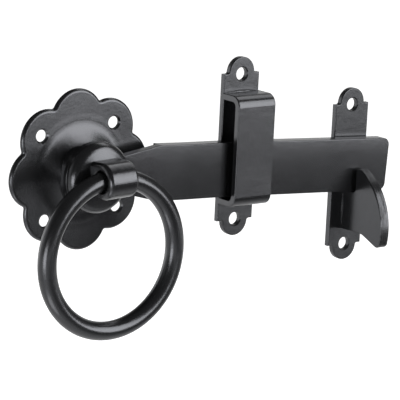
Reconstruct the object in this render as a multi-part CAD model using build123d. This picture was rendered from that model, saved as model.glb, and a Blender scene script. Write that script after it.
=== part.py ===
from build123d import *
import math
import os

# Ring gate latch in black-painted steel: a latch bar turned by a ring handle on a pressed rose,
# a guide that the bar slides up and down in, and a catch hook that it drops behind.
# Millimetres. X runs along the gate from the handle to the catch, Y runs into the gate, Z is up.
# The origin is on the gate's face, on the axis that the handle turns about.
# A depth is a distance out of the gate's face towards the person who uses the latch, which is -Y.

# Handle rose, a scalloped cup pressed from sheet with a raised centre
rose_tip_radius = 35.95
rose_lobe_radius = 13.4
rose_lobe_count = 8
rose_turn = 4.7
rose_outline_across = 0.2
rose_outline_up = 0.6
rose_sheet = 1.5
rose_face_depth = 1.8
rose_valley_radius = 1.2
rose_edge_radius = 1.5
rose_dome_base_radius = 22.5
rose_dome_base_bend = 15.0
rose_dome_top_bend = 2.5
rose_screw_circle = 53.3
rose_screw_hole = 5.3
rose_screw_edge = 0.7

# Screw holes in both plates
screw_hole = 6.0
screw_hole_edge = 0.5

# Guide plate and catch plate, two of the same blank
plate_width = 20.0
plate_thickness = 2.5
plate_hole_spacing = 67.0
plate_tab_radius = 7.1
plate_shoulder = 0.4
plate_corner_radius = 1.0
plate_edge_radius = 0.5
plate_tab_reach = 0.7
guide_across = 86.7
catch_over_notch = 6.9

# Guide strap, bent from strip and welded to its plate by its two ends
strap_width = 21.0
strap_thickness = 2.75
strap_depth = 14.8
strap_height = 51.0
strap_under_bar = 0.6
strap_bend_radius = 5.0
strap_edge_radius = 0.5

# Catch hook, cut from plate, with its outer edge on one large arc
hook_thickness = 5.2
hook_arc_radius = 30.2
hook_arc_depth = 0.4
hook_arc_drop = 15.5
hook_notch_width = 8.4
hook_notch_radius = 1.8
hook_tip_depth = 14.0
hook_tip_fall = 0.6
hook_tip_radius = 1.0
hook_nose_angle = 16.2
hook_nose_radius = 2.5
hook_heel_depth = 17.0
hook_heel_rise = 5.0
hook_heel_radius = 5.0
hook_edge_radius = 0.5

# Welds
strap_weld_length = 17.0
strap_weld_size = 1.5
hook_weld_length = 15.0
hook_weld_size = 1.4

# Latch bar, flat bar with a thinner tang, cranked towards the gate before the guide
bar_height = 25.0
bar_thickness = 6.0
bar_droop = 3.4
bar_length = 172.0
bar_past_catch = 18.1
bar_tip_radius = 3.5
bar_edge_radius = 0.4
bar_depth_at_guide = 9.5
bar_crank = 2.0
bar_crank_start = 49.0
bar_crank_end = 76.0
bar_bend_radius = 80.0
tang_thickness = 4.0
tang_end = 13.9
tang_corner_radius = 8.0
tang_head_end = 3.0
tang_neck = 12.0
tang_neck_height = 14.8
tang_flare_end = 35.5

# Hub, one casting: flange, boss, eye for the ring, and the shank that carries the latch bar
flange_radius = 15.3
flange_thickness = 2.1
groove_width = 0.5
groove_depth = 0.6
boss_radius = 15.7
boss_height = 6.6
boss_crown = 2.8
boss_shoulder_radius = 4.2
boss_edge_radius = 0.3
eye_depth = 27.5
eye_rise = 1.3
eye_shift = 0.3
eye_turn = 2.5
eye_radius = 8.0
eye_length = 15.0
eye_bore = 9.6
eye_mouth_radius = 0.8
eye_edge_radius = 1.9
neck_height = 14.4
shank_across = 14.0
shank_end_depth = 1.2
socket_across = 8.1
socket_length = 18.0

# Ring
ring_outer_radius = 37.5
ring_wire = 8.2
ring_joint_angle = 190.0
ring_joint_width = 0.3
ring_joint_depth = 0.1

# Washers and snap ring that hold the hub in the rose
front_washer_radius = 13.0
front_washer_thickness = 1.0
back_washer_radius = 11.0
back_washer_thickness = 1.0
snap_ring_thickness = 1.0
snap_ring_width = 2.6
snap_ring_groove = 0.6
snap_ring_gap = 60.0
snap_ring_lug_radius = 2.0
snap_ring_lug_hole = 0.8

# Clearances
bar_on_shank = 0.05
shank_in_rose = 0.08
washer_on_shank = 0.1
washer_to_rose = 0.1
bar_on_catch = 0.05
ring_on_eye = 0.05

# Places along the handle's axis, worked out from the bar outwards and inwards
tang_front = bar_depth_at_guide + bar_crank
tang_back = tang_front - tang_thickness
rose_dome_depth = tang_back - front_washer_thickness - washer_to_rose
rose_inside_depth = rose_dome_depth - rose_sheet
back_washer_front = rose_inside_depth - washer_to_rose
snap_ring_front = back_washer_front - back_washer_thickness
flange_front = tang_front + flange_thickness
boss_back = flange_front + groove_width
boss_corner = tang_front + boss_height
shank_radius = shank_across / 2
bar_middle = (bar_length - tang_end) / 2
bar_half_waist = tang_neck_height / 4
ring_radius = ring_outer_radius - ring_wire / 2

# The bar's sloping lower edge sets the height of the notch's floor and of the strap's foot
droop_slope = math.tan(math.radians(bar_droop))
bar_half_upright = bar_height / 2 / math.cos(math.radians(bar_droop))
catch_across = bar_length - bar_past_catch
notch_floor = -bar_half_upright - droop_slope * (catch_across + hook_thickness / 2) - bar_on_catch
catch_up = notch_floor + catch_over_notch
strap_inner_foot = -bar_half_upright - droop_slope * (guide_across + strap_width / 2) - strap_under_bar
guide_up = strap_inner_foot - strap_thickness + strap_height / 2

front_view = Rot(90, 0, 0)


def side_view(across):
    """Plane to draw on as (depth, height), whose thickness is centred on one place along X."""
    return Plane(origin=(across, 0, 0), x_dir=(0, -1, 0), z_dir=(-1, 0, 0))


def arc_about(centre, radius, start, end):
    """Arc about a centre, from one angle to another in degrees."""
    angles = [math.radians(a) for a in (start, (start + end) / 2, end)]
    points = [(centre[0] + radius * math.cos(a), centre[1] + radius * math.sin(a)) for a in angles]
    return ThreePointArc(*points)


def cylinder_from(radius, low, high):
    """Round bar about the drawing's own upright axis, from one depth to another."""
    return extrude(Plane.XY.offset(low) * Circle(radius), high - low)


def eased_hole(across, edge, thickness, top):
    """Screw hole with a broken front edge, drawn from the front, to be cut at a place."""
    hole = cylinder_from(across / 2, top - 2 * thickness, top + thickness)
    return hole + Pos(0, 0, top - edge / 2) * Cone(across / 2, across / 2 + edge, edge)


def rose_outline(inset):
    """Scalloped outline, moved inwards by an inset, with its valleys rounded."""
    centre_radius = rose_tip_radius - rose_lobe_radius
    outline = Circle(centre_radius)
    for spot in PolarLocations(centre_radius, rose_lobe_count, start_angle=rose_turn):
        outline += spot * Circle(rose_lobe_radius - inset)
    outline = fillet(outline.vertices(), rose_valley_radius + inset)
    return Pos(rose_outline_across, rose_outline_up) * outline


def rose_dome():
    """Raised centre, one sheet thick: a wide arc climbs from the face and a tight one ends flat."""
    rise = rose_dome_depth - rose_face_depth
    swing = math.acos(1 - rise / (rose_dome_base_bend + rose_dome_top_bend))
    turned = math.degrees(swing)
    run = (rose_dome_base_bend + rose_dome_top_bend) * math.sin(swing)
    low = (rose_dome_base_radius, rose_face_depth + rose_dome_base_bend)
    high = (rose_dome_base_radius - run, rose_dome_depth - rose_dome_top_bend)
    bore = shank_radius + shank_in_rose
    inside = rose_dome_depth - rose_sheet
    outer_low = arc_about(low, rose_dome_base_bend, 270, 270 - turned)
    outer_high = arc_about(high, rose_dome_top_bend, 90 - turned, 90)
    inner_high = arc_about(high, rose_dome_top_bend - rose_sheet, 90, 90 - turned)
    inner_low = arc_about(low, rose_dome_base_bend + rose_sheet, 270 - turned, 270)
    profile = [
        outer_low,
        outer_high,
        Line(outer_high @ 1, (bore, rose_dome_depth)),
        Line((bore, rose_dome_depth), (bore, inside)),
        Line((bore, inside), inner_high @ 0),
        inner_high,
        inner_low,
        Line(inner_low @ 1, outer_low @ 0),
    ]
    return revolve(Plane.XZ * make_face(profile), Axis.Z)


def rose_plate():
    """Pressed rose: scalloped face with a turned-back lip, four screw holes and a domed centre."""
    cup = extrude(rose_outline(0), rose_face_depth)
    cup = fillet(cup.edges().group_by(Axis.Z)[-1], rose_edge_radius)
    cup -= extrude(rose_outline(rose_sheet), rose_face_depth - rose_sheet)
    cup -= cylinder_from(rose_dome_base_radius, 0, rose_face_depth)
    cup += rose_dome()
    first = rose_turn + 180 / rose_lobe_count * 2
    for spot in PolarLocations(rose_screw_circle / 2, 4, start_angle=first):
        cup -= spot * eased_hole(rose_screw_hole, rose_screw_edge, rose_sheet, rose_face_depth)
    return front_view * cup


def screw_plate(across, up):
    """Back plate: a strip with a rounded tab at each end, round its screw hole."""
    blank = Rectangle(plate_width, plate_hole_spacing + 2 * plate_shoulder)
    for side in (1, -1):
        blank += Pos(0, side * (plate_hole_spacing / 2 + plate_tab_reach)) * Circle(plate_tab_radius)
    inner = blank.vertices().filter_by(lambda v: abs(v.X) < (plate_width + 2 * plate_tab_radius) / 4)
    blank = fillet(inner, plate_corner_radius)
    plate = extrude(blank, plate_thickness)
    plate = fillet(plate.edges().group_by(Axis.Z)[-1], plate_edge_radius)
    for side in (1, -1):
        hole = eased_hole(screw_hole, screw_hole_edge, plate_thickness, plate_thickness)
        plate -= Pos(0, side * plate_hole_spacing / 2) * hole
    return Pos(across, 0, up) * front_view * plate


def guide_strap():
    """Bracket in the shape of a U, drawn from the side, whose ends stand on the guide plate."""
    reach = strap_depth - plate_thickness
    outer = Pos(plate_thickness + reach / 2, guide_up) * Rectangle(reach, strap_height)
    outer = fillet(outer.vertices().group_by(Axis.X)[-1], strap_bend_radius)
    inner_reach = reach - strap_thickness
    inner_height = strap_height - 2 * strap_thickness
    inner = Pos(plate_thickness + inner_reach / 2, guide_up) * Rectangle(inner_reach, inner_height)
    inner = fillet(inner.vertices().group_by(Axis.X)[-1], strap_bend_radius - strap_thickness)
    strap = extrude(side_view(guide_across) * (outer - inner), strap_width / 2, both=True)
    half = strap_height / 2 - strap_thickness / 2
    outside = strap.edges().filter_by(
        lambda e: abs(e.center().X - guide_across) > strap_width / 2 - 0.01
        and (abs(e.center().Z - guide_up) > half or -e.center().Y > strap_depth - strap_thickness / 2))
    return fillet(outside, strap_edge_radius)


def weld_bead(length, size):
    """Quarter of a long pointed bead, with its line along X, lying in the corner of +Y and +Z."""
    bow = (length * length / 4 + size * size) / (2 * size)
    half_turn = math.degrees(math.asin(length / 2 / bow))
    crown = arc_about((0, size - bow), bow, 90 + half_turn, 90 - half_turn)
    profile = make_face([crown, Line(crown @ 1, crown @ 0)])
    return revolve(profile, Axis.X, 90)


def strap_weld():
    """Two beads along the strap's ends, outside the loop, against the guide plate."""
    bead = weld_bead(strap_weld_length, strap_weld_size)
    top = Pos(guide_across, -plate_thickness, guide_up + strap_height / 2) * Rot(90, 0, 0) * bead
    bottom = Pos(guide_across, -plate_thickness, guide_up - strap_height / 2) * Rot(180, 0, 0) * bead
    return Compound([top, bottom])


def hook_outline():
    """Side of the catch hook as (depth, height): notch floor, horn, outer arc, nose and heel."""
    centre = (hook_arc_depth, notch_floor - hook_arc_drop)
    horn_back = plate_thickness + hook_notch_width
    tip_height = centre[1] + math.sqrt(hook_arc_radius ** 2 - (hook_tip_depth - centre[0]) ** 2)
    start = math.degrees(math.acos((hook_tip_depth - centre[0]) / hook_arc_radius))
    edge = arc_about(centre, hook_arc_radius, start, -hook_nose_angle)
    heel = centre[1] - hook_arc_radius * math.sin(math.radians(hook_nose_angle)) + hook_heel_rise
    corners = [
        (hook_tip_depth, tip_height),
        (horn_back, tip_height - hook_tip_fall),
        (horn_back, notch_floor),
        (plate_thickness, notch_floor),
        (plate_thickness, heel),
        (hook_heel_depth, heel),
        edge @ 1,
    ]
    face = make_face([edge, Polyline(*corners)])
    return face, corners


def catch_hook():
    """Hook plate: rounded at its tip, notch, heel and nose, with the outer arc's edges eased."""
    face, corners = hook_outline()
    rounds = {0: hook_tip_radius, 1: hook_tip_radius, 2: hook_notch_radius,
              5: hook_heel_radius, 6: hook_nose_radius}
    for index, radius in rounds.items():
        spot = Vector(*corners[index]) if index < 6 else corners[6]
        near = face.vertices().sort_by_distance(spot)[0]
        face = fillet(near, radius)
    hook = extrude(side_view(catch_across) * face, hook_thickness / 2, both=True)
    rim = hook.edges().filter_by(
        lambda e: abs(e.center().X - catch_across) > hook_thickness / 2 - 0.01
        and -e.center().Y > hook_tip_depth and e.length > hook_arc_radius / 2)
    return fillet(rim, hook_edge_radius)


def hook_weld():
    """Two beads up the sides of the hook, against the catch plate."""
    bead = weld_bead(hook_weld_length, hook_weld_size)
    middle = notch_floor - hook_arc_drop / 2 - hook_weld_size
    beads = []
    for side, turn in ((1, -90), (-1, 180)):
        place = Pos(catch_across + side * hook_thickness / 2, -plate_thickness, middle)
        beads.append(place * Rot(0, 0, turn) * Rot(0, 90, 0) * bead)
    return Compound(beads)


def bar_side():
    """Edge of the bar as (along, depth): thin tang, full thickness, then the crank to the gate."""
    front = tang_front
    back = tang_front - bar_thickness
    guide_front = bar_depth_at_guide
    guide_back = bar_depth_at_guide - bar_thickness
    face = make_face(Polyline(
        (-tang_end, front),
        (bar_crank_start, front),
        (bar_crank_end, guide_front),
        (bar_length, guide_front),
        (bar_length, guide_back),
        (bar_crank_end, guide_back),
        (bar_crank_start, back),
        (tang_flare_end, back),
        (tang_flare_end, tang_back),
        (-tang_end, tang_back),
        close=True))
    bends = face.vertices().filter_by(lambda v: v.X in (bar_crank_start, bar_crank_end))
    return fillet(bends, bar_bend_radius)


def bar_front():
    """Front of the bar as (along, across): rounded tang end, waist, flare and rounded tip."""
    half = bar_height / 2
    upper = [
        (-tang_end, half),
        (tang_head_end, half),
        (tang_neck, tang_neck_height / 2),
        (tang_flare_end, half),
        (bar_length, half),
    ]
    lower = [(x, -y) for x, y in reversed(upper)]
    face = make_face(Polyline(*upper, *lower, close=True))
    face = fillet(face.vertices().group_by(Axis.X)[-1], bar_tip_radius)
    return fillet(face.vertices().group_by(Axis.X)[0], tang_corner_radius)


def in_bar_frame(part):
    """Set a piece drawn from the front, along the bar, at the bar's resting slope."""
    return front_view * Rot(0, 0, -bar_droop) * part


def latch_bar():
    """Latch bar, with the square hole that the hub's shank drives."""
    side = extrude(Plane.XZ * bar_side(), bar_height, both=True)
    front = extrude(bar_front(), 2 * tang_front)
    bar = side & front
    rim = bar.edges().filter_by(lambda e: abs(e.tangent_at(0.5).Z) < 0.5 and (
        abs(e.center().Y) > bar_half_waist or abs(e.center().X - bar_middle) > bar_length / 2 - 0.01))
    bar = fillet(rim, bar_edge_radius)
    hole = shank_across + 2 * bar_on_shank
    bar -= Pos(0, 0, tang_front) * Box(hole, hole, 4 * tang_thickness)
    return in_bar_frame(bar)


def hub_body():
    """Flange and domed boss as one turned shape with a groove between, drawn from the front."""
    groove_floor = flange_radius - groove_depth
    crown_radius = (boss_radius ** 2 + boss_crown ** 2) / (2 * boss_crown)
    crown_top = boss_corner + boss_crown
    edge = math.degrees(math.asin(boss_radius / crown_radius))
    crown = arc_about((0, crown_top - crown_radius), crown_radius, 90 - edge, 90)
    outline = [
        (0, crown_top),
        (0, tang_front),
        (flange_radius, tang_front),
        (flange_radius, flange_front),
        (groove_floor, flange_front),
        (groove_floor, boss_back),
        (boss_radius, boss_back),
        (boss_radius, boss_corner),
    ]
    face = make_face([Polyline(*outline), crown])
    for corner, radius in ((3, boss_edge_radius), (6, boss_edge_radius), (7, boss_shoulder_radius)):
        near = face.vertices().sort_by_distance(Vector(*outline[corner]))[0]
        face = fillet(near, radius)
    return revolve(Plane.XZ * face, Axis.Z)


def hub_eye():
    """Eye for the ring with its neck, drawn from the side as one hull, its outer edges rounded."""
    foot = boss_corner - eye_depth
    barrel = Circle(eye_radius)
    root = Pos(foot + neck_height / 4, 0) * Rectangle(neck_height / 2, neck_height)
    side = make_hull(barrel.edges() + root.edges())
    block = extrude(Plane(origin=(0, 0, 0), x_dir=(0, 0, 1), z_dir=(1, 0, 0)) * side, eye_length / 2, both=True)
    rim = block.edges().filter_by(
        lambda e: abs(abs(e.center().X) - eye_length / 2) < 0.01 and e.center().Z > foot + 0.01)
    block = fillet(rim, eye_edge_radius)
    bore = Rot(0, 90, 0) * Cylinder(eye_bore / 2, 2 * eye_length)
    block -= bore
    mouths = block.edges().filter_by(GeomType.CIRCLE).filter_by(lambda e: abs(e.radius - eye_bore / 2) < 0.001)
    return fillet(mouths, eye_mouth_radius)


def hub():
    """Hub casting: turned body and eye in front, square shank with its journal behind."""
    casting = hub_body() + Pos(eye_shift, eye_rise, eye_depth) * Rot(0, 0, eye_turn) * hub_eye()
    square = Pos(0, 0, tang_back) * Box(
        shank_across, shank_across, tang_thickness, align=(Align.CENTER, Align.CENTER, Align.MIN))
    journal = cylinder_from(shank_radius, shank_end_depth, tang_back)
    groove_low = snap_ring_front - snap_ring_thickness
    groove = cylinder_from(shank_radius, groove_low, snap_ring_front)
    groove -= cylinder_from(shank_radius - snap_ring_groove, groove_low, snap_ring_front)
    casting += Rot(0, 0, -bar_droop) * square + (journal - groove)
    socket = Pos(0, 0, shank_end_depth) * Box(
        socket_across, socket_across, socket_length, align=(Align.CENTER, Align.CENTER, Align.MIN))
    casting -= Rot(0, 0, -bar_droop) * socket
    return front_view * casting


def washer(radius, thickness, back):
    """Plain washer on the shank, from its back face towards the viewer."""
    ring = cylinder_from(radius, back, back + thickness)
    ring -= cylinder_from(shank_radius + washer_on_shank, back, back + thickness)
    return front_view * ring


def snap_ring():
    """Open ring in the shank's groove, with a lug and a plier hole at each end."""
    inner = shank_radius - snap_ring_groove
    middle = inner + snap_ring_width / 2
    ring = Circle(inner + snap_ring_width) - Circle(inner)
    half_gap = math.radians(snap_ring_gap / 2)
    far = 2 * (inner + snap_ring_width)
    mouth = Polygon((0, 0), (far * math.cos(half_gap), far * math.sin(half_gap)),
                    (far * math.cos(half_gap), -far * math.sin(half_gap)), align=None)
    ring -= mouth
    lug_angle = snap_ring_gap / 2 + math.degrees(snap_ring_lug_radius / middle)
    for side in (1, -1):
        turn = Rot(0, 0, side * lug_angle)
        place = turn * Pos(middle + snap_ring_lug_radius / 2, 0)
        ring += place * Circle(snap_ring_lug_radius)
    ring -= Circle(inner)
    for side in (1, -1):
        place = Rot(0, 0, side * lug_angle) * Pos(middle + snap_ring_lug_radius / 2, 0)
        ring -= place * Circle(snap_ring_lug_hole)
    back = snap_ring_front - snap_ring_thickness
    return front_view * Rot(0, 0, -90) * extrude(Plane.XY.offset(back) * ring, snap_ring_thickness)


def ring():
    """Ring of round wire hanging on the eye's lower lips, with a fine groove at its butt joint."""
    hoop = Torus(ring_radius, ring_wire / 2)
    groove = cylinder_from(ring_wire, -ring_joint_width / 2, ring_joint_width / 2)
    groove -= cylinder_from(ring_wire / 2 - ring_joint_depth, -ring_joint_width / 2, ring_joint_width / 2)
    hoop -= Rot(0, 0, ring_joint_angle) * Pos(ring_radius, 0, 0) * Rot(90, 0, 0) * groove
    turn = math.radians(eye_turn)
    reach = eye_length / 2 - eye_mouth_radius
    lip_across = reach * math.cos(turn) + eye_bore / 2 * math.sin(turn)
    lip_up = eye_rise + reach * math.sin(turn) - eye_bore / 2 * math.cos(turn)
    inner = ring_radius - ring_wire / 2
    centre_up = lip_up - math.sqrt(inner ** 2 - lip_across ** 2) + ring_on_eye
    return Pos(eye_shift, -eye_depth, centre_up) * front_view * hoop


pieces = {
    "rose_plate": rose_plate(),
    "guide_plate": screw_plate(guide_across, guide_up),
    "guide_strap": guide_strap(),
    "strap_weld": strap_weld(),
    "catch_plate": screw_plate(catch_across, catch_up),
    "catch_hook": catch_hook(),
    "hook_weld": hook_weld(),
    "hub": hub(),
    "latch_bar": latch_bar(),
    "front_washer": washer(front_washer_radius, front_washer_thickness, tang_back - front_washer_thickness),
    "back_washer": washer(back_washer_radius, back_washer_thickness, snap_ring_front),
    "snap_ring": snap_ring(),
    "ring": ring(),
}

os.makedirs("parts", exist_ok=True)
for name, piece in pieces.items():
    export_step(piece, f"parts/{name}.step")
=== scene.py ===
"""Dressing for the ring gate latch: black coat, weld beads, plated washers, stage and camera."""

import math

import bpy
import numpy as np
from mathutils import Matrix, Vector


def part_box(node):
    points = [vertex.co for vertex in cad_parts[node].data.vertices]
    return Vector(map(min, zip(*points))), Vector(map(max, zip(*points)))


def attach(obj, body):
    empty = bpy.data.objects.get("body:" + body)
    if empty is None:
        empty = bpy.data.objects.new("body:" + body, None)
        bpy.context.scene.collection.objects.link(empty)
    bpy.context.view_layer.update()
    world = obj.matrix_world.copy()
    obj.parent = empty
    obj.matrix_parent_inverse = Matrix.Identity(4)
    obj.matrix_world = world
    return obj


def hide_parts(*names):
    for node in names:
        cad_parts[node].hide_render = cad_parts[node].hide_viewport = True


bl_info = {
    "name": "Ring gate latch dressing",
    "version": (1, 0, 0),
    "blender": (4, 5, 0),
    "location": "View3D > Sidebar > Gate Latch",
    "description": "Black coat, weld beads, stage and camera for a ring gate latch",
    "category": "Object",
}

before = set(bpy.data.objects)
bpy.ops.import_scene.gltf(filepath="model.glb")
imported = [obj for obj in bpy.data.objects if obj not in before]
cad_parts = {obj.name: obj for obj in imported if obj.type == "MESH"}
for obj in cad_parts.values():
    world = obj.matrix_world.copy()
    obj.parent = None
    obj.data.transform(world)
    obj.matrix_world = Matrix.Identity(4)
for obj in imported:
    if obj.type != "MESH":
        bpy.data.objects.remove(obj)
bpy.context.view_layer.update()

FLAT_STEEL = ("guide_plate", "guide_strap", "catch_plate", "front_washer")
PLATED = ("back_washer", "snap_ring")
WHITE = (1.0, 1.0, 1.0)
# Value that noise swings about, and those between which clouds pass from one tone to another
EVEN = 0.5
CLOUDS = (0.3, 0.7)
# Share by which coordinates shrink along grooves, which are 20 times as long as they are wide
STRETCH = 0.05
# Heading of the dark patch of floor from the latch, to the right and to the front
PATCH_HEADING = (0.5, 0.87)
# Points along and round each weld bead
BEAD_ROWS, BEAD_COLUMNS = 260, 22
# Each softbox's azimuth and elevation from the latch in degrees, distance, width, height in metres
# and radiance. The front and upper ones make one tall light that is brighter below.
SOFTBOXES = (
    ("front softbox", 32.5, 8.6, 2.00, 1.30, 1.07, 6.2),
    ("upper softbox", 37.5, 31.5, 2.00, 1.26, 0.60, 5.2),
    ("left softbox", -66.0, -9.0, 0.90, 0.44, 0.36, 6.0),
    ("low softbox", -64.0, -50.0, 0.36, 0.16, 0.15, 2.6),
    ("top softbox", 105.0, 53.0, 1.10, 0.75, 0.32, 2.2),
    ("back softbox", -150.0, 4.0, 1.20, 0.90, 0.75, 0.9),
)


class Socket:
    """One output of a node, which adds Math nodes when numbers are worked out with it."""

    def __init__(self, finish, output):
        self.finish = finish
        self.output = output

    def math(self, operation, *values):
        inputs = dict(enumerate((self, *values)))
        return self.finish.node("ShaderNodeMath", {"operation": operation}, inputs)

    def __add__(self, other):
        return self.math("ADD", other)

    def __sub__(self, other):
        return self.math("SUBTRACT", other)

    def __rsub__(self, other):
        return self.finish.node("ShaderNodeMath", {"operation": "SUBTRACT"}, {0: other, 1: self})

    def __mul__(self, other):
        return self.math("MULTIPLY", other)

    def __pow__(self, other):
        return self.math("POWER", other)

    def __truediv__(self, other):
        return self.math("DIVIDE", other)

    def __abs__(self):
        return self.math("ABSOLUTE")

    __radd__ = __add__

    def above_zero(self):
        """The value itself, or 0 where it is below 0."""
        return self.math("MAXIMUM", 0.0)

    def between(self, low, high):
        """A mask that climbs smoothly from 0 at one value to 1 at another."""
        inputs = {0: self, 1: low, 2: high}
        return self.finish.node("ShaderNodeMapRange", {"interpolation_type": "SMOOTHSTEP"}, inputs)


class Nodes:
    """A node tree whose nodes are all added by one method, with the coordinates they work on."""

    def __init__(self, tree, coordinates):
        self.tree = tree
        self.place = self.node("ShaderNodeTexCoord", output=coordinates)
        split = self.node("ShaderNodeSeparateXYZ", None, {0: self.place}, None)
        self.x, self.y, self.z = (Socket(self, output) for output in split.outputs)

    def node(self, kind, settings=None, inputs=None, output=0):
        """Adds a node, sets it, feeds its sockets and gives one output, or the node for None."""
        made = self.tree.nodes.new(kind)
        for key, value in (settings or {}).items():
            setattr(made, key, value)
        for key, value in (inputs or {}).items():
            self.feed(made.inputs[key], value)
        return made if output is None else Socket(self, made.outputs[output])

    def feed(self, socket, value):
        """Gives a socket a value, or links another node's output to it."""
        if isinstance(value, Socket):
            self.tree.links.new(value.output, socket)
        else:
            socket.default_value = value

    def rays(self):
        """Masks of the rays that look straight at a thing, and of those that a gloss mirrors."""
        path = self.node("ShaderNodeLightPath", output=None)
        kinds = ("Camera", "Transmission", "Glossy")
        seen, through, mirrored = (Socket(self, path.outputs[f"Is {kind} Ray"]) for kind in kinds)
        return seen + through, mirrored

    def noise(self, size, detail=2.0, roughness=0.5, place=None):
        """Noise with grain of about one size, in metres, on the piece's or other coordinates."""
        inputs = {
            "Vector": place or self.place, "Scale": 1 / size, "Detail": detail,
            "Roughness": roughness}
        return self.node("ShaderNodeTexNoise", {"noise_dimensions": "3D"}, inputs)

    def point(self, x, y, z):
        """Coordinates put together from three values."""
        return self.node("ShaderNodeCombineXYZ", None, {0: x, 1: y, 2: z})

    def mix(self, mask, first, second):
        """Blend of two colours by a mask."""
        inputs = {0: mask, 6: first, 7: second}
        return self.node("ShaderNodeMix", {"data_type": "RGBA"}, inputs, output=2)

    def glow(self, colour):
        """Emission of strength 1."""
        return self.node("ShaderNodeEmission", None, {"Color": colour, "Strength": 1.0})

    def bump(self, height, distance, normal=None):
        """Bump from a height between 0 and 1, over a real height in metres."""
        inputs = {"Height": height, "Distance": distance, "Strength": 1.0}
        if normal is not None:
            inputs["Normal"] = normal
        return self.node("ShaderNodeBump", None, inputs)


class Finish(Nodes):
    """A material on the piece's own coordinates in metres."""

    def __init__(self, name):
        self.material = bpy.data.materials.new(name)
        self.material.use_nodes = True
        super().__init__(self.material.node_tree, "Object")
        self.shader = self.tree.nodes["Principled BSDF"]

    def set(self, **values):
        """Feeds the shader's sockets, named with underscores for spaces."""
        for key, value in values.items():
            self.feed(self.shader.inputs[key.replace("_", " ")], value)


def shade(tone, colour):
    """A colour made lighter or darker by one factor, with its alpha."""
    return tuple(min(1.0, tone * part) for part in colour[:3]) + (1.0,)


def towards(azimuth, elevation):
    """Unit vector from two angles: azimuth turns right from the front, elevation rises."""
    level = math.cos(elevation)
    return Vector((
        math.sin(azimuth) * level, -math.cos(azimuth) * level, math.sin(elevation)))


class CoatSettings(bpy.types.PropertyGroup):
    """Black powder coat."""

    colour: bpy.props.FloatVectorProperty(
        name="Coat colour", default=(0.0070, 0.0071, 0.0075), min=0, max=1, size=3, subtype="COLOR",
        description="Colour of the powder coat")
    tint: bpy.props.FloatVectorProperty(
        name="Gloss tint", default=(0.905, 0.925, 0.985), min=0, max=1, size=3, subtype="COLOR",
        description="Slight cool tint of the coat's gloss")
    refraction: bpy.props.FloatProperty(
        name="Refractive index", default=1.60, min=1,
        description="How strongly the coat mirrors its surroundings")
    roughness: bpy.props.FloatProperty(
        name="Roughness", default=0.245, min=0, max=1,
        description="Roughness of the coat where it is even")
    cloud_size: bpy.props.FloatProperty(
        name="Cloud size", default=0.030, unit="LENGTH",
        description="Width of the slow changes of colour and gloss")
    cloud_gloss: bpy.props.FloatProperty(
        name="Cloud gloss", default=0.06, min=0, max=1,
        description="How much the roughness changes from cloud to cloud")
    peel_gloss: bpy.props.FloatProperty(
        name="Peel gloss", default=0.03, min=0, max=1,
        description="How much the roughness changes over the fine waves")
    peel_size: bpy.props.FloatProperty(
        name="Peel size", default=0.0011, unit="LENGTH",
        description="Width of the coat's fine waves")
    peel_height: bpy.props.FloatProperty(
        name="Peel height", default=0.0000045, unit="LENGTH", precision=7,
        description="Height of the coat's fine waves")
    mottle_size: bpy.props.FloatProperty(
        name="Mottle size", default=0.0032, unit="LENGTH",
        description="Width of the soft unevenness of the coat")
    mottle_height: bpy.props.FloatProperty(
        name="Mottle height", default=0.000038, unit="LENGTH", precision=6,
        description="Height of the soft unevenness of the coat")
    wave_size: bpy.props.FloatProperty(
        name="Wave size", default=0.011, unit="LENGTH",
        description="Width of the slow waves in the metal and the coat")
    wave_height: bpy.props.FloatProperty(
        name="Wave height", default=0.00005, unit="LENGTH", precision=6,
        description="Height of the slow waves")


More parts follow.
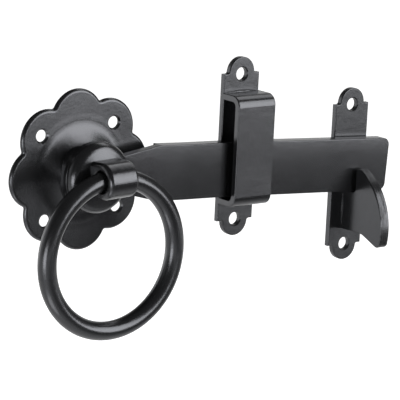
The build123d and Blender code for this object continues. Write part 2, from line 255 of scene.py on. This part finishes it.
class MarkSettings(bpy.types.PropertyGroup):
    """Marks that making leaves in the metal under the coat."""

    bar_slope: bpy.props.FloatProperty(
        name="Bar slope", default=math.radians(3.4), subtype="ANGLE",
        description="How far the latch bar droops at rest")
    bar_half: bpy.props.FloatProperty(
        name="Bar half height", default=0.0125, unit="LENGTH",
        description="Half the height of the latch bar")
    bar_crown: bpy.props.FloatProperty(
        name="Bar crown", default=0.00020, unit="LENGTH", precision=6,
        description="Height of the rolled bar's slight crown over half its height")
    bar_grain: bpy.props.FloatProperty(
        name="Bar grain", default=0.0007, unit="LENGTH", precision=6,
        description="Width of the rolling marks along the bar")
    bar_grain_share: bpy.props.FloatProperty(
        name="Bar grain share", default=0.03, min=0, max=1,
        description="Height of the rolling marks as a share of the crown")
    strip_bow: bpy.props.FloatProperty(
        name="Strip bow", default=0.0020, unit="LENGTH", precision=6,
        description="How far the lower ends of the cut strips stand forward")
    strip_bow_reach: bpy.props.FloatProperty(
        name="Strip bow reach", default=0.090, unit="LENGTH",
        description="Distance below the handle's axis over which the strips' bow grows")
    rose_crown: bpy.props.FloatProperty(
        name="Rose crown", default=0.00030, unit="LENGTH", precision=6,
        description="Height of the pressed rose's slight crown over its radius")
    rose_radius: bpy.props.FloatProperty(
        name="Rose radius", default=0.036, unit="LENGTH",
        description="Radius of the rose, over which its crown falls")
    flank_radius: bpy.props.FloatProperty(
        name="Flank radius", default=0.018, unit="LENGTH",
        description="Radius inside which the rose's raised centre bends more")
    flank_bend: bpy.props.FloatProperty(
        name="Flank bend", default=16.0, min=0,
        description="How fast that bend grows, as height over squared distance")
    root_radius: bpy.props.FloatProperty(
        name="Root radius", default=0.0228, unit="LENGTH",
        description="Radius of the soft root of the rose's raised centre")
    root_reach: bpy.props.FloatProperty(
        name="Root reach", default=0.0032, unit="LENGTH",
        description="How far the soft root reaches to both sides")
    root_height: bpy.props.FloatProperty(
        name="Root height", default=0.00004, unit="LENGTH", precision=6,
        description="Height of the soft root")
    draw_inner: bpy.props.FloatProperty(
        name="Draw marks from", default=0.012, unit="LENGTH",
        description="Radius where the rose's radial draw marks start")
    draw_outer: bpy.props.FloatProperty(
        name="Draw marks to", default=0.022, unit="LENGTH",
        description="Radius where the rose's radial draw marks end")
    draw_height: bpy.props.FloatProperty(
        name="Draw mark height", default=0.000040, unit="LENGTH", precision=7,
        description="Height of the rose's radial draw marks")
    draw_fade: bpy.props.FloatVectorProperty(
        name="Draw mark fade", default=(0.002, 0.005), size=2, unit="LENGTH",
        description="Distances over which the draw marks fade in and out")
    draw_width: bpy.props.FloatProperty(
        name="Draw mark width", default=0.022, subtype="ANGLE",
        description="Width of one draw mark as an angle round the rose")
    draw_change: bpy.props.FloatProperty(
        name="Draw mark change", default=12.0, min=0,
        description="How fast the draw marks change along the radius, per metre")
    cast_size: bpy.props.FloatProperty(
        name="Casting grain", default=0.0024, unit="LENGTH",
        description="Width of the lumps in the cast hub's skin")
    cast_height: bpy.props.FloatProperty(
        name="Casting height", default=0.000035, unit="LENGTH", precision=7,
        description="Height of the lumps in the cast hub's skin")
    cut_centre: bpy.props.FloatVectorProperty(
        name="Cut edge centre", default=(-0.0004, -0.03737), size=2, subtype="XYZ", unit="LENGTH",
        description="Depth and height of the centre of the hook's round edge")
    cut_radius: bpy.props.FloatProperty(
        name="Cut edge radius", default=0.0302, unit="LENGTH",
        description="Radius of the hook's round edge")
    cut_inset: bpy.props.FloatVectorProperty(
        name="Cut edge inset", default=(0.0006, 0.0001), size=2, unit="LENGTH", precision=5,
        description="Distances inside the round edge between which its marks start")
    cut_height: bpy.props.FloatProperty(
        name="Cut mark height", default=0.00022, unit="LENGTH", precision=6,
        description="Height that the shares of the grooves and pits are taken from")
    groove_size: bpy.props.FloatProperty(
        name="Groove size", default=0.0009, unit="LENGTH", precision=5,
        description="Width of the grinding grooves on the hook's round edge")
    groove_edges: bpy.props.FloatVectorProperty(
        name="Groove edges", default=(0.48, 0.62), min=0, max=1, size=2,
        description="Values of noise between which the side of a groove climbs")
    groove_share: bpy.props.FloatProperty(
        name="Groove share", default=0.32, min=0, max=1,
        description="Height of the grinding grooves as a share of the cut mark height")
    pit_size: bpy.props.FloatProperty(
        name="Pit size", default=0.0010, unit="LENGTH", precision=5,
        description="Width of the pits among the grooves")
    pit_share: bpy.props.FloatProperty(
        name="Pit share", default=0.05, min=0, max=1,
        description="Height of the pits as a share of the cut mark height")


class PlateSettings(bpy.types.PropertyGroup):
    """Zinc plate on the hidden washer and snap ring."""

    colour: bpy.props.FloatVectorProperty(
        name="Plate colour", default=(0.52, 0.53, 0.54), min=0, max=1, size=3, subtype="COLOR",
        description="Colour of the zinc plate")
    roughness: bpy.props.FloatProperty(
        name="Roughness", default=0.34, min=0, max=1,
        description="Roughness of the zinc plate where it is even")
    cloud_size: bpy.props.FloatProperty(
        name="Cloud size", default=0.004, unit="LENGTH",
        description="Width of the plate's cloudy patches")
    cloud_gloss: bpy.props.FloatProperty(
        name="Cloud gloss", default=0.2, min=0, max=1,
        description="How much the roughness changes from patch to patch")
    mark_size: bpy.props.FloatProperty(
        name="Mark size", default=0.0005, unit="LENGTH", precision=5,
        description="Width of the fine tumbling marks")
    mark_height: bpy.props.FloatProperty(
        name="Mark height", default=0.000006, unit="LENGTH", precision=7,
        description="Height of the fine tumbling marks")


class WeldSettings(bpy.types.PropertyGroup):
    """Rippled weld beads, which stand for the plain ones of the solid model."""

    strap_size: bpy.props.FloatProperty(
        name="Strap bead", default=0.0009, unit="LENGTH",
        description="Radius of the beads along the strap's ends")
    strap_length: bpy.props.FloatProperty(
        name="Strap bead length", default=0.0175, unit="LENGTH",
        description="Length of the beads along the strap's ends")
    strap_shape: bpy.props.FloatVectorProperty(
        name="Strap bead shape", default=(0.08, 2.0, 0.2), size=3,
        description="Wander, fullness and flatness of the beads along the strap's ends")
    hook_size: bpy.props.FloatProperty(
        name="Hook bead", default=0.00055, unit="LENGTH", precision=5,
        description="Radius of the beads beside the hook")
    hook_length: bpy.props.FloatProperty(
        name="Hook bead length", default=0.0150, unit="LENGTH",
        description="Length of the beads beside the hook")
    hook_shape: bpy.props.FloatVectorProperty(
        name="Hook bead shape", default=(0.55, 6.0, 0.5), size=3,
        description="Wander, fullness and flatness of the beads beside the hook")
    ripple_pitch: bpy.props.FloatProperty(
        name="Ripple pitch", default=0.0013, unit="LENGTH",
        description="Distance from one ripple of a weld to the next")
    ripple_height: bpy.props.FloatProperty(
        name="Ripple height", default=0.0006, unit="LENGTH", precision=6,
        description="Height of the ripples where a weld wanders by its whole size")


class StageSettings(bpy.types.PropertyGroup):
    """Floor, lamps and camera."""

    floor_colour: bpy.props.FloatVectorProperty(
        name="Floor colour", default=(0.80, 0.80, 0.80), min=0, max=1, size=3, subtype="COLOR",
        description="Colour of the pale floor")
    floor_half: bpy.props.FloatProperty(
        name="Floor half width", default=6.0, unit="LENGTH",
        description="Half the width of the floor")
    floor_drop: bpy.props.FloatProperty(
        name="Floor drop", default=0.30, unit="LENGTH",
        description="Distance of the floor below the handle's axis")
    near_glow: bpy.props.FloatProperty(
        name="Near glow", default=0.6, min=0, max=1,
        description="Glow that the camera sees on the floor round the latch, where 1 is white")
    glow_reach: bpy.props.FloatVectorProperty(
        name="Glow reach", default=(0.4, 0.8), size=2, unit="LENGTH",
        description="Distances between which the floor's glow climbs to white")
    patch_tone: bpy.props.FloatProperty(
        name="Patch tone", default=0.12, min=0, max=1,
        description="Tone of the dark patch of floor that glossy faces show")
    patch_start: bpy.props.FloatVectorProperty(
        name="Patch start", default=(0.05, 0.55), size=2, unit="LENGTH",
        description="Distances to the front right between which the dark patch starts")
    patch_side: bpy.props.FloatVectorProperty(
        name="Patch side", default=(0.35, 0.90), size=2, unit="LENGTH",
        description="Distances from the dark patch's middle between which it ends")
    world_strength: bpy.props.FloatProperty(
        name="World strength", default=0.09, min=0,
        description="Strength of the light from all round")
    backdrop_strength: bpy.props.FloatProperty(
        name="Backdrop strength", default=0.75, min=0, max=1,
        description="Strength of the pale backdrop that glossy faces show")
    middle: bpy.props.FloatVectorProperty(
        name="Middle", default=(0.06, 0.0, -0.01), size=3, subtype="XYZ",
        description="Point that the softboxes face")
    azimuth: bpy.props.FloatProperty(
        name="Azimuth", default=math.radians(-37.923), subtype="ANGLE",
        description="Camera's turn round the latch")
    elevation: bpy.props.FloatProperty(
        name="Elevation", default=math.radians(12.471), subtype="ANGLE",
        description="Camera's height angle")
    roll: bpy.props.FloatProperty(
        name="Roll", default=math.radians(2.76), subtype="ANGLE",
        description="Camera's turn about its own line of sight")
    distance: bpy.props.FloatProperty(
        name="Distance", default=1.116, unit="LENGTH",
        description="Camera's distance from its target")
    target: bpy.props.FloatVectorProperty(
        name="Target", default=(0.067995, 0.0, -0.019608), size=3, subtype="XYZ",
        description="Point at the middle of the picture")
    lens: bpy.props.FloatProperty(
        name="Lens", default=222.21, min=1,
        description="Focal length in millimetres on a 36 mm sensor")


def coat(name, settings, relief=None, relief_height=0.0):
    """Semi-gloss black powder coat: orange peel, mottle, slow waves and slight changes of gloss.

    A relief, of which 1 is the relief's height, shows the metal's own marks through the coat.
    """
    finish = Finish(name)
    slow = finish.noise(settings.wave_size, detail=1.5)
    mottle = finish.noise(settings.mottle_size, detail=2.0, roughness=0.6)
    fine = finish.noise(settings.peel_size, detail=2.5, roughness=0.6)
    cloud = finish.noise(settings.cloud_size, detail=3.0, roughness=0.6)
    waves = finish.bump(slow, settings.wave_height)
    base = finish.bump(mottle, settings.mottle_height, waves)
    if relief is not None:
        base = finish.bump(relief(finish), relief_height, base)
    dark = shade(0.85, settings.colour)
    pale = shade(1.25, settings.colour)
    dullness = (cloud - EVEN) * settings.cloud_gloss
    finish.set(
        Base_Color=finish.mix(cloud.between(*CLOUDS), dark, pale),
        Roughness=settings.roughness + dullness + (fine - EVEN) * settings.peel_gloss,
        IOR=settings.refraction,
        Specular_Tint=(*settings.tint, 1.0),
        Normal=finish.bump(fine, settings.peel_height, base),
    )
    return finish.material


def rolled_bar(marks):
    """Slight crown across the flat bar, and faint rolling marks along it, as shares of the crown.

    With u the distance above the bar's middle over half its height, the crown leans by
    1.5 u - 0.9 u^2 - 0.44 u^3. The marks are noise stretched 20 times along the bar.
    """
    def relief(finish):
        slope, half = marks.bar_slope, marks.bar_half
        across = (finish.z * math.cos(slope) + finish.x * math.sin(slope)) / half
        along = (finish.x * math.cos(slope) - finish.z * math.sin(slope)) / half
        lean = across * (1.5 - across * (0.9 + across * 0.44))
        place = finish.point(along * STRETCH, finish.y, across)
        grain = finish.noise(marks.bar_grain / half, detail=3.0, place=place)
        return lean + grain * marks.bar_grain_share
    return relief


def bowed_strip(marks):
    """Slow bow of the cut strips below the handle's axis, as a share of the bow."""
    def relief(finish):
        return (finish.z * -1.0).between(0.0, marks.strip_bow_reach)
    return relief


def draw_marks(marks):
    """Slight crown of the pressed rose, its soft root and flank, and fine radial lines.

    All heights are shares of the crown's. At radius r the flank falls by the bend times
    (flank radius - r)^2, and the root rises by its height times (1 - o^2)^2, with o the distance
    from the root's radius over its reach. The lines are noise stretched along the radius.
    """
    def relief(finish):
        radius = (finish.x * finish.x + finish.z * finish.z) ** 0.5
        place = finish.point(finish.x / radius, radius * marks.draw_change, finish.z / radius)
        lines = finish.noise(marks.draw_width, detail=4.0, roughness=0.7, place=place)
        fade_in, fade_out = marks.draw_fade
        band = radius.between(marks.draw_inner, marks.draw_inner + fade_in)
        band = band * (1 - radius.between(marks.draw_outer - fade_out, marks.draw_outer))
        height = finish.z / marks.rose_radius
        crown = 1 - height * height
        inside = (marks.flank_radius - radius).above_zero()
        flank = inside * inside * (marks.flank_bend / marks.rose_crown)
        offset = (radius - marks.root_radius) / marks.root_reach
        ridge = (1 - offset * offset).above_zero()
        root = ridge * ridge * (marks.root_height / marks.rose_crown)
        return crown - flank + root + lines * band * (marks.draw_height / marks.rose_crown)
    return relief


def cast_skin(marks):
    """Soft lumps of a casting's skin."""
    def relief(finish):
        return finish.noise(marks.cast_size, detail=3.0, roughness=0.55)
    return relief


def cut_marks(marks):
    """Grinding grooves along the hook's round edge, and pits among them, only on that edge."""
    def relief(finish):
        depth = finish.y - marks.cut_centre[0]
        height = finish.z - marks.cut_centre[1]
        radius = (depth * depth + height * height) ** 0.5
        along = height.math("ARCTAN2", depth) * marks.cut_radius
        place = finish.point(finish.x, along * STRETCH, 0.0)
        streaks = finish.noise(marks.groove_size, detail=3.0, roughness=0.7, place=place)
        grooves = streaks.between(*marks.groove_edges)
        pits = finish.noise(marks.pit_size, detail=3.0, roughness=0.7)
        start, end = marks.cut_inset
        edge = radius.between(marks.cut_radius - start, marks.cut_radius - end)
        return (grooves * marks.groove_share + pits * marks.pit_share) * edge
    return relief


def zinc_plate(settings):
    """Dull zinc plate: cloudy grey metal with fine tumbling marks."""
    finish = Finish("zinc plate")
    cloud = finish.noise(settings.cloud_size, detail=3.0, roughness=0.6)
    marks = finish.noise(settings.mark_size, detail=2.0)
    dark = shade(0.85, settings.colour)
    pale = shade(1.1, settings.colour)
    finish.set(
        Base_Color=finish.mix(cloud.between(*CLOUDS), dark, pale),
        Metallic=1.0,
        Roughness=settings.roughness + (cloud - EVEN) * settings.cloud_gloss,
        Normal=finish.bump(marks, settings.mark_height),
    )
    return finish.material


def give(obj, material):
    """Puts one material in every slot of a piece."""
    if not obj.material_slots:
        obj.data.materials.append(material)
    for slot in obj.material_slots:
        slot.material = material


def weld_bead(start, end, side, size, shape, settings, seed):
    """Rippled bead in a corner of two faces, as a grid whose first column is the corner itself.

    One face of the corner looks to the front and the other to the side. Along the seam t runs from
    0 to 1, and round it the angle a runs from the front to the side. The bead's radius there is

        (1 - 0.97 |2t - 1|^p)^(2/p) (s (0.93 + w d) + w h (|sin q|^0.7 - 0.7)) g
        g = 1 - f + f / (cos a + sin a)
        d = 0.6 sin(9t + seed) + 0.4 sin(23t + 2.3 seed + 2a)
        q = pi (t length / pitch - 0.45 sin 2a) + seed

    with s the size, h the ripple height, w the wander, p the fullness, which makes a spindle at 2
    and a bar with closed ends above it, and f the flatness, which is 1 for a flat section.
    """
    start, end = np.array(start), np.array(end)
    out, side = np.array((0.0, -1.0, 0.0)), np.array(side, dtype=float)
    wander, fullness, flatness = shape
    length = np.linalg.norm(end - start)
    t = np.linspace(0.0, 1.0, BEAD_ROWS)[:, None]
    angle = np.linspace(0.0, math.pi / 2, BEAD_COLUMNS)[None, :]
    taper = (1 - 0.97 * np.abs(2 * t - 1) ** fullness) ** (2 / fullness)
    drift = 0.6 * np.sin(9.0 * t + seed) + 0.4 * np.sin(23.0 * t + 2.3 * seed + 2.0 * angle)
    phase = math.pi * (t * length / settings.ripple_pitch - 0.45 * np.sin(2 * angle)) + seed
    ripple = settings.ripple_height * (np.abs(np.sin(phase)) ** 0.7 - 0.7)
    radius = taper * (size * (0.93 + wander * drift) + wander * ripple)
    radius = radius * (1 - flatness + flatness / (np.cos(angle) + np.sin(angle)))
    arc = radius[..., None] * (np.cos(angle)[..., None] * out + np.sin(angle)[..., None] * side)
    seam = start + t[..., None] * (end - start)
    corner = np.broadcast_to(seam, (BEAD_ROWS, 1, 3))
    return np.concatenate([corner, seam + arc], axis=1)


def mesh_from_grids(name, grids):
    """One mesh of closed bars: each grid's rows run along its bar, its columns run round it."""
    points, faces, offset = [], [], 0
    for grid in grids:
        rows, columns = grid.shape[:2]
        index = offset + np.arange(rows * columns).reshape(rows, columns)
        after = np.roll(index, -1, axis=1)
        quads = np.stack([index[:-1], after[:-1], after[1:], index[1:]], axis=-1).reshape(-1, 4)
        bar = quads.tolist() + [index[0][::-1].tolist(), index[-1].tolist()]
        along = grid[-1].mean(axis=0) - grid[0].mean(axis=0)
        middle = grid[rows // 2]
        turn = np.cross(middle[1] - middle[0], middle[-1] - middle[0])
        if np.dot(turn, along) < 0:
            bar = [face[::-1] for face in bar]
        points.append(grid.reshape(-1, 3))
        faces += bar
        offset += rows * columns
    mesh = bpy.data.meshes.new(name)
    mesh.from_pydata(np.concatenate(points).tolist(), [], faces)
    mesh.validate()
    mesh.polygons.foreach_set("use_smooth", np.ones(len(mesh.polygons), dtype=bool))
    return mesh


def add_piece(name, grids, body, material):
    """Makes a new piece of closed bars at the origin, riding on a body."""
    obj = bpy.data.objects.new(name, mesh_from_grids(name, grids))
    bpy.context.scene.collection.objects.link(obj)
    give(obj, material)
    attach(obj, body)
    return obj


class LATCH_OT_coat(bpy.types.Operator):
    """Gives the black powder coat to the coated pieces, with the marks that making left in each"""

    bl_idname = "latch.coat"
    bl_label = "Coat pieces"

    def execute(self, context):
        settings, marks = context.scene.latch_coat, context.scene.latch_marks
        reliefs = (
            (FLAT_STEEL, "black coat on flat steel", bowed_strip(marks), marks.strip_bow),
            (("ring",), "black coat on round rod", None, 0.0),
            (("latch_bar",), "black coat on rolled bar", rolled_bar(marks), marks.bar_crown),
            (("rose_plate",), "black coat on pressed sheet", draw_marks(marks), marks.rose_crown),
            (("hub",), "black coat on casting", cast_skin(marks), marks.cast_height),
            (("catch_hook",), "black coat on cut plate", cut_marks(marks), marks.cut_height),
        )
        for nodes, name, relief, height in reliefs:
            material = coat(name, settings, relief, height)
            for node in nodes:
                give(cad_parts[node], material)
        return {"FINISHED"}


class LATCH_OT_plate(bpy.types.Operator):
    """Gives zinc plate to the washer and snap ring inside the rose"""

    bl_idname = "latch.plate"
    bl_label = "Plate washers"

    def execute(self, context):
        material = zinc_plate(context.scene.latch_plate)
        for node in PLATED:
            give(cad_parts[node], material)
        return {"FINISHED"}


class LATCH_OT_welds(bpy.types.Operator):
    """Makes the rippled weld beads of the strap and the hook"""

    bl_idname = "latch.welds"
    bl_label = "Make welds"

    def execute(self, context):
        settings = context.scene.latch_welds
        material = bpy.data.materials["black coat on flat steel"]
        low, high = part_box("guide_strap")
        middle, face, half = (low[0] + high[0]) / 2, high[1], settings.strap_length / 2
        beads = [
            weld_bead((middle - half, face, height), (middle + half, face, height), side,
                      settings.strap_size, settings.strap_shape, settings, seed)
            for height, side, seed in ((high[2], (0, 0, 1), 1.0), (low[2], (0, 0, -1), 2.0))]
        strap = add_piece("strap_beads", beads, "backing", material)
        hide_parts("strap_weld")

        low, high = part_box("catch_hook")
        weld_low, weld_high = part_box("hook_weld")
        middle, face, half = (weld_low[2] + weld_high[2]) / 2, high[1], settings.hook_length / 2
        beads = [
            weld_bead((across, face, middle - half), (across, face, middle + half), side,
                      settings.hook_size, settings.hook_shape, settings, seed)
            for across, side, seed in ((low[0], (-1, 0, 0), 3.0), (high[0], (1, 0, 0), 4.0))]
        hook = add_piece("hook_beads", beads, "backing", material)
        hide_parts("hook_weld")
        return {"FINISHED"}


class LATCH_OT_stage(bpy.types.Operator):
    """Makes the pale floor, the softboxes and the world"""

    bl_idname = "latch.stage"
    bl_label = "Make stage"

    def execute(self, context):
        settings = context.scene.latch_stage
        self.add_floor(context, settings)
        self.add_world(context, settings)
        for softbox in SOFTBOXES:
            self.add_softbox(context, settings, *softbox)
        return {"FINISHED"}

    def add_floor(self, context, settings):
        """Pale floor, white to the camera and, but for a dark patch, to glossy faces.

        The camera sees less glow on it round the latch, so that the latch's shadow shows.
        """
        floor = bpy.data.objects.new("floor", bpy.data.meshes.new("floor"))
        half, drop = settings.floor_half, -settings.floor_drop
        corners = [(x * half, y * half, drop) for x, y in ((-1, -1), (1, -1), (1, 1), (-1, 1))]
        floor.data.from_pydata(corners, [], [(0, 1, 2, 3)])
        context.scene.collection.objects.link(floor)
        finish = Finish("pale floor")
        grain = finish.noise(0.05, detail=2.0)
        dark = shade(0.99, settings.floor_colour)
        pale = shade(1.01, settings.floor_colour)
        finish.set(
            Base_Color=finish.mix(grain, dark, pale), Roughness=0.9, Specular_IOR_Level=0.0)
        plain = Socket(finish, finish.shader.outputs[0])
        far = ((finish.x * finish.x + finish.y * finish.y) ** 0.5).between(*settings.glow_reach)
        white = finish.glow(finish.mix(far, shade(settings.near_glow, WHITE), shade(1.0, WHITE)))
        right, front = PATCH_HEADING
        ahead = (finish.x * right - finish.y * front).between(*settings.patch_start)
        aside = abs(finish.x * front + finish.y * right).between(*settings.patch_side)
        patch = finish.mix(
            ahead * (1 - aside), shade(1.0, WHITE), shade(settings.patch_tone, WHITE))
        seen, glossy = finish.rays()
        lit = finish.node("ShaderNodeAddShader", None, {0: plain, 1: white})
        mirrored = {0: glossy, 1: plain, 2: finish.glow(patch)}
        other = finish.node("ShaderNodeMixShader", None, mirrored)
        chosen = finish.node("ShaderNodeMixShader", None, {0: seen, 1: other, 2: lit})
        finish.feed(finish.tree.nodes["Material Output"].inputs["Surface"], chosen)
        floor.data.materials.append(finish.material)

    def add_world(self, context, settings):
        """Even light from all round, white to the camera, with a pale backdrop for glossy faces."""
        world = bpy.data.worlds.new("studio")
        world.use_nodes = True
        sky = Nodes(world.node_tree, "Generated")
        seen, glossy = sky.rays()
        behind = sky.y.between(0.0, 0.5) * (1 - sky.z.between(0.25, 0.65))
        mask = seen + glossy * (behind * settings.backdrop_strength)
        plain = shade(settings.world_strength, WHITE)
        background = sky.tree.nodes["Background"]
        sky.feed(background.inputs["Color"], sky.mix(mask, plain, shade(1.0, WHITE)))
        context.scene.world = world

    def add_softbox(
            self, context, settings, name, azimuth, elevation, distance, width, height, radiance):
        """Upright softbox that faces the latch from one direction, in degrees, and distance."""
        away = towards(math.radians(azimuth), math.radians(elevation))
        lamp = bpy.data.lights.new(name, "AREA")
        lamp.shape = "RECTANGLE"
        lamp.size, lamp.size_y = width, height
        lamp.energy = radiance * math.pi * width * height
        holder = bpy.data.objects.new(name, lamp)
        context.scene.collection.objects.link(holder)
        facing = away.to_track_quat("Z", "Y").to_matrix().to_4x4()
        place = Matrix.Translation(Vector(settings.middle) + distance * away)
        holder.matrix_world = place @ facing


class LATCH_OT_camera(bpy.types.Operator):
    """Makes the camera at the photograph's viewing angle"""

    bl_idname = "latch.camera"
    bl_label = "Make camera"

    def execute(self, context):
        settings = context.scene.latch_stage
        roll = settings.roll
        away = towards(settings.azimuth, settings.elevation)
        right = Vector((0, 0, 1)).cross(away).normalized()
        up = away.cross(right)
        across = math.cos(roll) * right + math.sin(roll) * up
        upward = -math.sin(roll) * right + math.cos(roll) * up
        data = bpy.data.cameras.new("camera")
        data.sensor_width = 36.0
        data.lens = settings.lens
        camera = bpy.data.objects.new("camera", data)
        context.scene.collection.objects.link(camera)
        facing = Matrix((across, upward, away)).transposed().to_4x4()
        place = Matrix.Translation(Vector(settings.target) + settings.distance * away)
        camera.matrix_world = place @ facing
        context.scene.camera = camera
        context.scene.view_settings.view_transform = "Standard"
        return {"FINISHED"}


class LATCH_PT_panel(bpy.types.Panel):
    """Lists the steps that dress the latch"""

    bl_idname = "LATCH_PT_panel"
    bl_label = "Gate Latch"
    bl_space_type = "VIEW_3D"
    bl_region_type = "UI"
    bl_category = "Gate Latch"

    def draw(self, context):
        for name in SETTINGS:
            box = self.layout.box()
            settings = getattr(context.scene, name)
            for key in settings.bl_rna.properties.keys():
                if key not in ("rna_type", "name"):
                    box.prop(settings, key)
        for operator in OPERATORS:
            self.layout.operator(operator.bl_idname)


SETTINGS = {
    "latch_coat": CoatSettings,
    "latch_marks": MarkSettings,
    "latch_plate": PlateSettings,
    "latch_welds": WeldSettings,
    "latch_stage": StageSettings,
}
OPERATORS = (LATCH_OT_camera, LATCH_OT_coat, LATCH_OT_plate, LATCH_OT_welds, LATCH_OT_stage)


def register():
    for name, group in SETTINGS.items():
        bpy.utils.register_class(group)
        setattr(bpy.types.Scene, name, bpy.props.PointerProperty(type=group))
    for operator in OPERATORS:
        bpy.utils.register_class(operator)
    bpy.utils.register_class(LATCH_PT_panel)


def unregister():
    bpy.utils.unregister_class(LATCH_PT_panel)
    for operator in reversed(OPERATORS):
        bpy.utils.unregister_class(operator)
    for name, group in reversed(SETTINGS.items()):
        delattr(bpy.types.Scene, name)
        bpy.utils.unregister_class(group)


def main():
    register()
    for operator in OPERATORS:
        group, action = operator.bl_idname.split(".")
        getattr(getattr(bpy.ops, group), action)()


if __name__ == "__main__":
    main()
